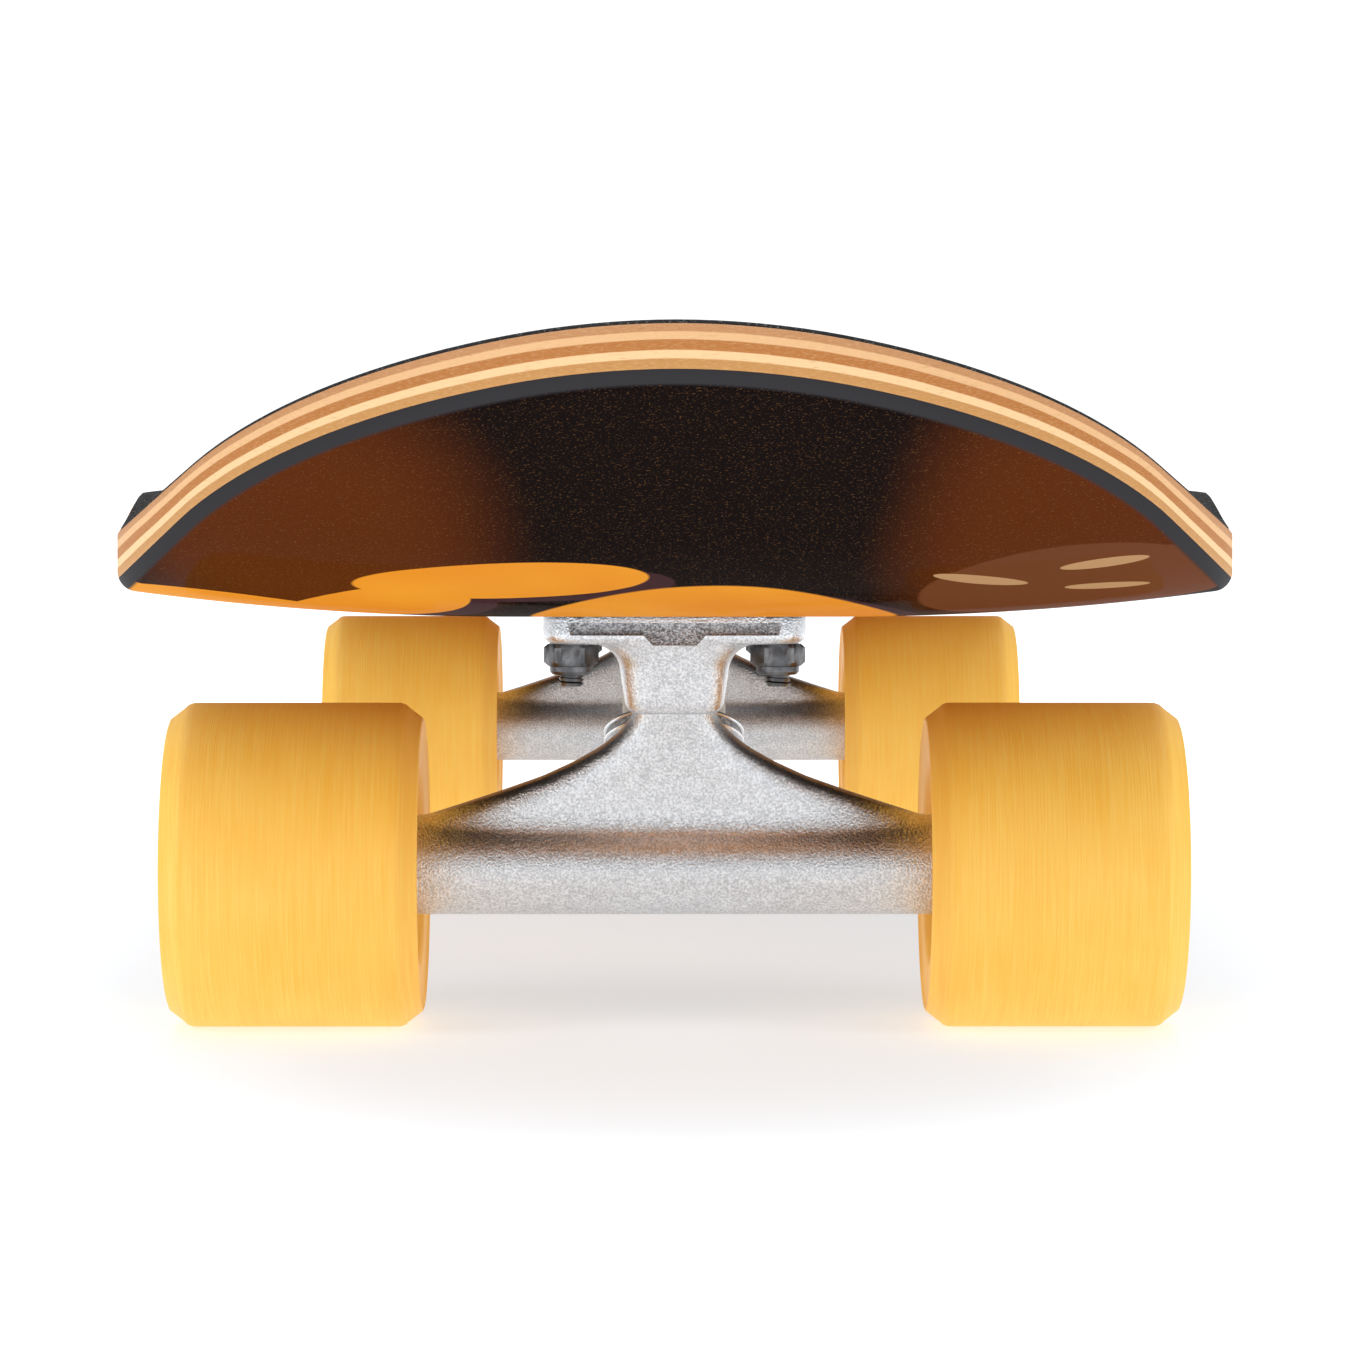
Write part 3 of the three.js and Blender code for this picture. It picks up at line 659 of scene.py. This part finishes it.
def hangerMesh():
    t = truck
    steer, pivot = steerFrame(), pivotFrame()
    tube = moved(roundedRod(t["tubeRadius"], -t["halfWidth"], t["halfWidth"], 0.8, 96), alongX)
    # half width of the web at each height, with its depth and where its middle lies
    web = loft([
        (-1.0, 0.0, 61.0, 8.0, 4), (4.0, 0.0, 60.0, 8.0, 4), (8.0, 0.1, 56.0, 7.6, 4),
        (10.0, 0.2, 51.0, 7.5, 4),
        (12.2, 0.1, 44.0, 7.7, 4), (15.0, -0.1, 35.5, 8.0, 4), (18.0, -0.4, 27.0, 8.4, 4),
        (21.0, -0.9, 20.5, 8.7, 4),
        (24.0, -1.5, 15.2, 8.9, 4), (27.0, -2.3, 11.4, 9.0, 4), (30.0, -3.6, 8.9, 8.8, 4),
        (33.0, -5.6, 7.8, 7.9, 4)])
    neck = turned([
        (0, -5), *arc(5, (0, 0), -85, 0, 8), (5, 4.5), (5.6, 6.5), (t["neckRadius"] - 0.6, 10),
        (t["neckRadius"], 14),
        (t["neckRadius"], 33), (0, 33)], 64)
    eye = moved(roundedRod(t["ringRadius"] - 0.2, -4, 3.6, 1.2, 96), steer)
    armTurn = steer @ Matrix.Rotation(-math.pi / 2, 4, "X")
    arm = moved(loft([
        (-30, 1.0, 7.5, 7.0, 3), (-24, 1.5, 7.8, 7.0, 3), (-16, 2.0, 8.6, 6.4, 3), (-8, 0.6, 10.5, 4.6, 3),
        (0, 0.0, 12.0, 3.8, 4)]),
        armTurn)
    gusset = moved(loft([(0, 0.0, 9.5, 5.0, 3), (7, -0.5, 9.5, 4.2, 3), (14, -0.5, 10.5, 3.4, 3)]),
                   Matrix.Translation((0, 7.0, 8.0)) @ Matrix.Rotation(math.radians(-32), 4, "X"))
    room = t["bushingRadius"] + 0.9
    cuts = [
        moved(turned([(0, -9), (t["ringHole"], -9), (t["ringHole"], 9), (0, 9)], 48), steer),
        moved(turned([(0, 4), (room, 4), (room, 17), (0, 17)], 64), steer),
        moved(turned([(0, -17), (room, -17), (room, -4), (0, -4)], 64), steer),
        moved(turned([(0, -70), (4.05, -70), (4.05, 70), (0, 70)], 48), alongX),
    ]
    return cast("hanger", [tube, web, moved(neck, pivot), eye, arm, gusset], cuts)


def plateShell():
    t = truck
    middle = (t["plateFront"] + t["plateBack"]) / 2
    halfY = (t["plateBack"] - t["plateFront"]) / 2
    halfX, low, high = t["plateWidth"] / 2, t["plateBottom"], t["plateTop"]
    return loft([
        (low, middle, halfX - 1.4, halfY - 1.4, 9), (low + 0.5, middle, halfX - 0.4, halfY - 0.4, 9),
        (low + 1.4, middle, halfX, halfY, 9),
        (high - 0.6, middle, halfX, halfY, 9), (high, middle, halfX - 0.5, halfY - 0.5, 9)])


def baseplateMesh():
    t = truck
    steer, pivot = steerFrame(), pivotFrame()
    housing = loft([
        (32.0, -17.5, 7.6, 7.6, 5), (32.5, -17.5, 9.0, 8.6, 5), (33.6, -17.4, 9.8, 9.4, 4),
        (38.0, -16.6, 10.5, 11.6, 4),
        (41.8, -15.6, 11.0, 13.9, 4), (43.8, -15.3, 11.9, 14.9, 5), (45.4, -15.2, 14.0, 15.6, 5),
        (46.6, -15.2, 18.0, 16.1, 5)])
    boss = moved(turned([
        (0, t["bossFace"]), (t["bossRadius"] - 0.8, t["bossFace"]), (t["bossRadius"], t["bossFace"] + 0.8),
        (t["bossRadius"], 26), (t["bossRadius"] + 1.5, 30), (0, 30)], 64), steer)
    hole = t["cupHole"]
    cuts = [
        moved(turned([(0, -hole), *arc(hole, (0, 0), -85, 0, 8), (hole, 5.3), (9.4, 7), (9.4, 24), (0, 24)],
                     64), pivot),
        moved(turned([(0, 17), (5.05, 17), (5.05, 25), (0, 25)], 48), steer),
        moved(turned([(0, 24), (8.7, 24), (8.7, 48), (0, 48)], 96, hexSqueeze(14.9)), steer),
    ]
    for x in (-1, 1):
        for y in (-1, 1):
            drill = turned([(0, 44), (2.7, 44), (2.7, 56), (0, 56)], 24)
            shift = Matrix.Translation((x * t["boltAcross"] / 2, t["boltInward"] + y * t["boltAlong"] / 2, 0))
            cuts.append(moved(drill, shift))
    # the shallow panel cast into the plate's outer edge, with its tongue in the middle
    front, depth = t["plateFront"], t["panelDepth"]
    panel = loft([(t["plateBottom"] + 1.9, front, 20.6, depth, 12),
                  (t["plateBottom"] + 4.4, front, 21.2, depth, 12)])
    tongue = loft([(t["plateBottom"] - 0.1, front, 4.3, depth, 12),
                   (t["plateBottom"] + 2.2, front, 6.4, depth, 12)])
    mesh = cast("baseplate", [plateShell(), housing, boss], [panel, tongue, *cuts], 0.6, 5)
    mesh.materials.append(finishes["cast"])
    mesh.materials.append(finishes["rough"])
    for face in mesh.polygons:
        x, y, z = face.center / mm
        inPanel = abs(y - front - depth) < 0.2 and abs(x) < 21.4 and z > t["plateBottom"] - 0.2
        face.material_index = int(inPanel and face.normal.y < -0.8)
    return mesh


castings = {"hanger": hangerMesh(), "baseplate": baseplateMesh()}


def placed(mesh, end, name):
    copy = mesh.copy()
    copy.transform(truckPlace(end))
    copy.name = name
    return copy


for end in ends:
    piece(f"{end}_hanger_casting", placed(castings["hanger"], end, f"{end}_hanger_casting"),
          finishes["cast"], f"{end}_hanger", "cast_metal", f"{end}_hanger")
    piece(f"{end}_baseplate_casting", placed(castings["baseplate"], end, f"{end}_baseplate_casting"),
          finishes["cast"], "board", "cast_metal", f"{end}_baseplate")
print("castings made")


def threadTree():
    # a fine ridge wound round a rod
    tree = bpy.data.node_groups.new("threadTurns", "GeometryNodeTree")
    tree.interface.new_socket("Geometry", in_out="OUTPUT", socket_type="NodeSocketGeometry")
    for name in ("Radius", "Pitch", "Length", "Ridge"):
        tree.interface.new_socket(name, in_out="INPUT", socket_type="NodeSocketFloat")
    tree.interface.new_socket("Finish", in_out="INPUT", socket_type="NodeSocketMaterial")
    t = Tree(tree)
    start = t.node("NodeGroupInput", None, (), "Radius").socket.node
    names = ("Radius", "Pitch", "Length", "Ridge", "Finish")
    radius, pitch, length, ridge, finish = [Wire(t, start.outputs[name]) for name in names]
    spiral = t.node("GeometryNodeCurveSpiral", None,
                    {"Resolution": 20, "Rotations": length / pitch, "Start Radius": radius,
                     "End Radius": radius, "Height": length})
    section = t.node("GeometryNodeCurvePrimitiveCircle", None, {"Resolution": 4, "Radius": ridge})
    ridgeMesh = t.node("GeometryNodeCurveToMesh", None,
                       {"Curve": spiral, "Profile Curve": section, "Fill Caps": True})
    real = t.node("GeometryNodeRealizeInstances", None, {"Geometry": ridgeMesh})
    t.node("GeometryNodeSetMaterial", None, {"Geometry": real, "Material": finish})
    tree.links.new(t.last.outputs[0], tree.nodes.new("NodeGroupOutput").inputs[0])
    return tree


def fromTree(tree, values):
    holder = bpy.data.objects.new("holder", bpy.data.meshes.new("holder"))
    bpy.context.scene.collection.objects.link(holder)
    modifier = holder.modifiers.new("nodes", "NODES")
    modifier.node_group = tree
    for socket in tree.interface.items_tree:
        if socket.in_out == "INPUT" and socket.name in values:
            modifier[socket.identifier] = values[socket.name]
    holder.update_tag()
    mesh = evaluated(holder)
    bpy.data.objects.remove(holder)
    return mesh


def shellOf(mesh):
    return [tuple(v.co / mm) for v in mesh.vertices], [tuple(p.vertices) for p in mesh.polygons]


threads = threadTree()


def thread(radius, pitch, low, length):
    values = {"Radius": radius * mm, "Pitch": pitch * mm, "Length": length * mm, "Ridge": pitch * 0.42 * mm,
              "Finish": finishes["dark"]}
    return moved(shellOf(fromTree(threads, values)), Matrix.Translation((0, 0, low)))


def lockNut(flats, bore, low, high, point=1):
    # a hex nut with chamfered corners and a rounded collar at its outer end
    collar = (high - low) * 0.3
    corner = flats / 2 / math.cos(math.pi / 6)
    shoulder = high - collar
    profile = [(bore, low), (flats * 0.49, low), (corner, low + 0.7), (corner, shoulder - 0.7),
               (flats * 0.49, shoulder),
               (flats * 0.455, shoulder + 0.15), (flats * 0.45, high - 0.7), (flats * 0.40, high - 0.1),
               (bore + 0.5, high), (bore, high - 0.3)]
    shell = turned(profile, 96, hexSqueeze(flats))
    return shell if point > 0 else moved(shell, Matrix.Rotation(math.pi, 4, "X"))


def boltShell():
    t = truck
    r = t["boltRadius"]
    top, end = t["boltTop"], t["boltEnd"]
    head = [(0, end), (r - 0.5, end), (r - 0.25, end + 0.4), (r - 0.25, top - 4), (r, top - 2.9),
            (4.45, top - 0.35), (4.6, top - 0.1),
            (4.5, top), (1.9, top), (1.75, top - 0.2)]
    shell = turned([*head, (1.75, top - 1.6), (0, top - 1.6)], 48)
    return joined(shell, thread(r - 0.2, 0.79, end + 0.5, 12.0))


def atEach(shell, places):
    return joined(*[moved(shell, Matrix.Translation(place)) for place in places])


boltMiddle = {}
for end in ends:
    for i in range(1, 5):
        low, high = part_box(f"{end}_bolt_{i}")
        boltMiddle[end, i] = ((low.x + high.x) / 2 / mm, (low.y + high.y) / 2 / mm, 0)
boltMesh, nutTop = boltShell(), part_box("front_nut_1")[1].z / mm
nutShell = moved(lockNut(truck["boltFlats"], 2.5, 0, 6.2, -1), Matrix.Translation((0, 0, nutTop)))
for end in ends:
    places = [boltMiddle[end, i] for i in range(1, 5)]
    boltNames = [f"{end}_bolt_{i}" for i in range(1, 5)]
    nutNames = [f"{end}_nut_{i}" for i in range(1, 5)]
    piece(f"{end}_deck_bolts", smoothed(meshOf(f"{end}_deck_bolts", *atEach(boltMesh, places))),
          finishes["dark"], "board", "dark_steel", *boltNames)
    piece(f"{end}_deck_nuts", smoothed(meshOf(f"{end}_deck_nuts", *atEach(nutShell, places))),
          finishes["dark"], "board", "dark_steel", *nutNames)


def truckPiece(end, name, shell, inFrame, finish, body, slot, *replaced):
    matrix = truckPlace(end)
    mesh = meshOf(f"{end}_{name}", *moved(shell, inFrame))
    mesh.transform(matrix)
    return piece(f"{end}_{name}", smoothed(mesh), finishes[finish], body, slot,
                 *[f"{end}_{node}" for node in replaced])


def bushingShell(low, high, lowRadius, highRadius):
    bore = truck["kingpinRadius"] + 0.25
    middle = (lowRadius + highRadius) / 2
    return turned([
        *arc(0.8, (lowRadius - 0.8, low + 0.8), -90, -10, 5), (middle + 0.15, (low * 2 + high) / 3),
        (middle + 0.2, (low + high) / 2),
        (middle + 0.15, (low + high * 2) / 3), *arc(0.8, (highRadius - 0.8, high - 0.8), 10, 90, 5),
        (bore, high), (bore, low)], 64)


def pressed(bushing):
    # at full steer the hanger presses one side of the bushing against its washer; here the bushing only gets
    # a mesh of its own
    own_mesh(bushing)


def kingpinShell():
    t = truck
    r = t["kingpinRadius"]
    shank = roundedRod(r - 0.05, t["kingpinEnd"], t["headBase"] + 1, 0.7, 48)
    corner = t["kingpinFlats"] / 2 / math.cos(math.pi / 6)
    head = turned([(0, t["headBase"]), (corner, t["headBase"]), (corner, t["headTop"] - 0.8),
                   (6.9, t["headTop"]), (0, t["headTop"])],
                  96, hexSqueeze(t["kingpinFlats"]))
    return joined(shank, head, thread(r - 0.25, 1.06, t["kingpinEnd"] + 0.6, 2.2))


def washer(span, radius):
    return roundedRing(truck["kingpinRadius"] + 0.2, radius, *span, 0.35)


for end in ends:
    t = truck
    steer, pivot = steerFrame(), pivotFrame()
    beads = joined(*[roundedRing(t["beadInner"], t["beadOuter"], *span, 0.42) for span in t["beadSpans"]])
    collar = roundedRing(*t["collar"], 0.3)
    truckPiece(end, "seat_collar", collar, steer, "rough", f"{end}_hanger", "cast_metal")
    truckPiece(end, "seat_beads", beads, steer, "seat", f"{end}_hanger", "cast_metal")
    truckPiece(end, "kingpin_bolt", kingpinShell(), steer, "dark", "board", "dark_steel", "kingpin")
    kingNut = moved(lockNut(t["kingpinFlats"], 4.95, 0, 7.0, -1),
                    Matrix.Translation((0, 0, t["kingpinNut"][1])))
    truckPiece(end, "kingpin_lock_nut", kingNut, steer, "dark", "board", "dark_steel", "kingpin_nut")
    truckPiece(end, "board_side_washer", washer(t["boardWasher"], t["boardWasherRadius"]), steer, "bright",
               "board", "bright_steel", "board_washer")
    truckPiece(end, "road_side_washer", washer(t["roadWasher"], t["roadWasherRadius"]), steer, "bright",
               "board", "bright_steel", "road_washer")
    wide, tip = t["bushingRadius"], t["bushingTip"]
    boardBushing = truckPiece(end, "board_side_bushing", bushingShell(*t["boardBushing"], wide, wide), steer,
                              "bushing", "board", "bushing_urethane", "board_bushing")
    roadBushing = truckPiece(end, "road_side_bushing", bushingShell(*t["roadBushing"], tip, wide), steer,
                             "bushing", "board", "bushing_urethane", "road_bushing")
    pressed(boardBushing)
    pressed(roadBushing)
    outer, inner, top = t["cupOuter"], t["cupInner"], t["cupTop"]
    cup = turned([
        (0, -outer), *arc(outer, (0, 0), -85, 0, 8), (outer, top - 0.4), (outer - 0.4, top),
        (inner + 0.2, top), (inner, top - 0.3), *arc(inner, (0, 0), 0, -85, 8), (0, -inner)], 48)
    truckPiece(end, "pivot_bushing", cup, pivot, "pivot", "board", "pivot_urethane", "pivot_cup")
print("hardware made")


wheel = {
    "radius": 33.0, "face": 25.7, "chamfer": 3.3, "lip": 29.5, "recess": 20.0, "core": 14.0, "seat": 11.05,
    "bearingStart": 5.15, "bearingWidth": 7.0, "spacer": 6.0, "axle": 4.0, "axleEnd": 98.75,
    "washerGap": 0.95, "nutStart": 12.95 + 0.3, "nutHeight": 7.4, "nutFlats": 12.7,
}


def wheelProfile():
    w = wheel
    face, radius = w["face"], w["radius"]
    seatEnd = w["bearingStart"] + w["bearingWidth"] + 0.25
    half = [
        (9.4, w["bearingStart"] - 0.1), (w["seat"], w["bearingStart"] - 0.1), (w["seat"], seatEnd),
        (w["core"] - 0.8, seatEnd + 0.2),
        (w["core"], seatEnd + 0.9), (w["recess"] - 1.2, face - 2.4), (w["recess"] - 0.4, face - 1.3),
        (w["recess"] + 0.6, face - 0.75),
        (w["recess"] + 1.6, face - 0.6), (w["lip"] - 1.4, face - 0.6), (w["lip"] - 0.7, face - 0.35),
        (w["lip"] - 0.1, face - 0.02),
        (w["lip"] + 0.4, face - 0.2), (radius - 1.0, face - w["chamfer"] + 0.35),
        (radius - 0.35, face - w["chamfer"] - 0.35),
        (radius - 0.03, face - w["chamfer"] - 1.3)]
    tread = [(radius, x) for x in np.linspace(face - w["chamfer"] - 3, 0, 6)]
    upper = half + tread
    return [(r, -h) for r, h in upper] + [(r, h) for r, h in upper[-2::-1]]


def wheelMesh(name, place):
    profile = wheelProfile()
    steps = 128
    points, faces = turned(profile, steps)
    mesh = meshOf(name, *moved((points, faces), alongX))
    mesh.transform(Matrix.Translation(place))
    return smoothed(mesh, 30)


def bearingShells(start):
    # outer race, inner race and the shield between them
    w = wheel
    width = w["bearingWidth"]
    outer = roundedRing(9.4, 11.0, start, start + width, 0.35)
    inner = roundedRing(4.05, 6.0, start, start + width, 0.35)
    shield = roundedRing(6.25, 9.55, start + 0.45, start + width - 0.45, 0.2)
    return outer, inner, shield


for end in ends:
    for side, sign in zip(sides, (-1, 1)):
        name = f"{end}_{side}"
        low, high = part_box(f"{name}_wheel")
        place = (low + high) / 2
        wheelBody, hangerBody = f"{name}_wheel", f"{end}_hanger"
        piece(f"{name}_urethane_wheel", wheelMesh(f"{name}_urethane_wheel", place), finishes["wheel"],
              wheelBody, "wheel_urethane", f"{name}_wheel")
        toPlace = Matrix.Translation(place) @ Matrix.Rotation(sign * math.pi / 2, 4, "Y")
        w = wheel
        innerSet = bearingShells(-w["bearingStart"] - w["bearingWidth"])
        outerSet = bearingShells(w["bearingStart"])

        def spun(label, shell, finish, body, slot, *replaced):
            mesh = meshOf(f"{name}_{label}", *shell)
            mesh.transform(toPlace)
            return piece(f"{name}_{label}", smoothed(mesh), finishes[finish], body, slot, *replaced)

        spun("outer_races", joined(innerSet[0], outerSet[0]), "bearing", wheelBody, "bearing_steel",
             f"{name}_inner_bearing", f"{name}_outer_bearing")
        spun("bearing_shields", joined(innerSet[2], outerSet[2]), "shield", wheelBody, "bearing_steel")
        spun("inner_races", joined(innerSet[1], outerSet[1]), "bearing", hangerBody, "bearing_steel")
        spun("spacer_sleeve", roundedRing(4.1, w["spacer"], -4.85, 4.85), "bright", hangerBody,
             "bright_steel", f"{name}_bearing_spacer")
        bearingEnd = w["bearingStart"] + w["bearingWidth"]
        washers = joined(roundedRing(4.1, 6.6, -bearingEnd - 0.95, -bearingEnd - 0.05, 0.15),
                         roundedRing(4.1, 6.6, bearingEnd + 0.05, bearingEnd + 0.95, 0.15))
        spun("speed_washers", washers, "bright", hangerBody, "bright_steel")
        nut = lockNut(w["nutFlats"], 4.1, w["nutStart"], w["nutStart"] + w["nutHeight"])
        spun("axle_lock_nut", nut, "bright", hangerBody, "bright_steel", f"{name}_axle_nut")
    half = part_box(f"{end}_axle")[1].x / mm
    turns = (alongX, alongX @ Matrix.Rotation(math.pi, 4, "X"))
    axleThreads = [moved(thread(3.75, 1.06, half - 2.6, 2.0), turn) for turn in turns]
    rod = moved(roundedRod(3.95, -half, half, 0.7, 48), alongX)
    axleMesh = meshOf(f"{end}_axle_rod", *joined(rod, *axleThreads))
    axleMesh.transform(Matrix.Translation(axlePlace[end]))
    piece(f"{end}_axle_rod", smoothed(axleMesh), finishes["bright"], f"{end}_hanger", "bright_steel",
          f"{end}_axle")
print("wheels made")


studio = {
    "cameraAhead": 1.0235, "cameraHeight": 0.12145, "cameraSide": -0.00227, "pitch": 2.79, "yaw": 0.141,
    "lens": 134.1,
    "floorSize": 30.0,
}


def makeCamera():
    s = studio
    camera = bpy.data.objects.new("camera", bpy.data.cameras.new("camera"))
    bpy.context.scene.collection.objects.link(camera)
    camera.data.lens = s["lens"]
    camera.data.sensor_width = 36
    camera.data.clip_start = 0.05
    camera.data.clip_end = 60
    camera.location = (s["cameraSide"], axlePlace["front"].y - s["cameraAhead"], s["cameraHeight"])
    camera.rotation_euler = (math.radians(90 - s["pitch"]), 0, math.radians(-s["yaw"]))
    bpy.context.scene.camera = camera


def makeFloor():
    half = studio["floorSize"] / 2
    corners = [(-half, -half, 0), (half, -half, 0), (half, half, 0), (-half, half, 0)]
    floor = bpy.data.objects.new("floor", meshOf("floor", corners, [(0, 1, 2, 3)], 1))
    bpy.context.scene.collection.objects.link(floor)
    f = Finish("floor_white")
    # white all round, and a little darker where the board shades it
    away = f.node("ShaderNodeVectorMath", {"operation": "LENGTH"}, {0: f.scaled(2.2, 1, 0)}, "Value")
    painted_light = f.mixed(away.ramp(0.30, 0.62), (0.58, 0.58, 0.58), (1.0, 1.0, 1.0))
    floor.data.materials.append(f.finish(Base_Color=(0.55, 0.60, 0.65), Roughness=0.8, Specular_IOR_Level=0.1,
                                         Emission_Color=painted_light, Emission_Strength=1.0))
    floor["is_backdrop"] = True


def makeLight(name, place, target, size, power):
    light = bpy.data.lights.new(name, "AREA")
    light.shape = "RECTANGLE"
    light.size, light.size_y = size
    light.energy = power
    obj = bpy.data.objects.new(name, light)
    bpy.context.scene.collection.objects.link(obj)
    obj.location = place
    obj.rotation_euler = (Vector(target) - Vector(place)).to_track_quat("-Z", "Y").to_euler()


def makeWorld():
    bpy.context.scene.view_settings.view_transform = "Standard"
    world = bpy.data.worlds.new("studio")
    bpy.context.scene.world = world
    world.use_nodes = True
    t = Tree(world.node_tree)
    seen = t.node("ShaderNodeLightPath", None, (), "Is Camera Ray")
    strength = 0.45 + seen * 0.7
    background = world.node_tree.nodes["Background"]
    background.inputs["Color"].default_value = (1, 1, 1, 1)
    world.node_tree.links.new(strength.socket, background.inputs["Strength"])


makeCamera()
makeFloor()
makeWorld()
makeLight("overhead", (0, 0.1, 1.6), (0, 0, 0), (1.6, 1.6), 14)
makeLight("left", (-1.6, -1.5, 1.0), (0, -0.1, 0.05), (1.0, 1.0), 12)
makeLight("right", (1.6, -1.5, 1.0), (0, -0.1, 0.05), (1.0, 1.0), 10)
print("studio made")

low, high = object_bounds()
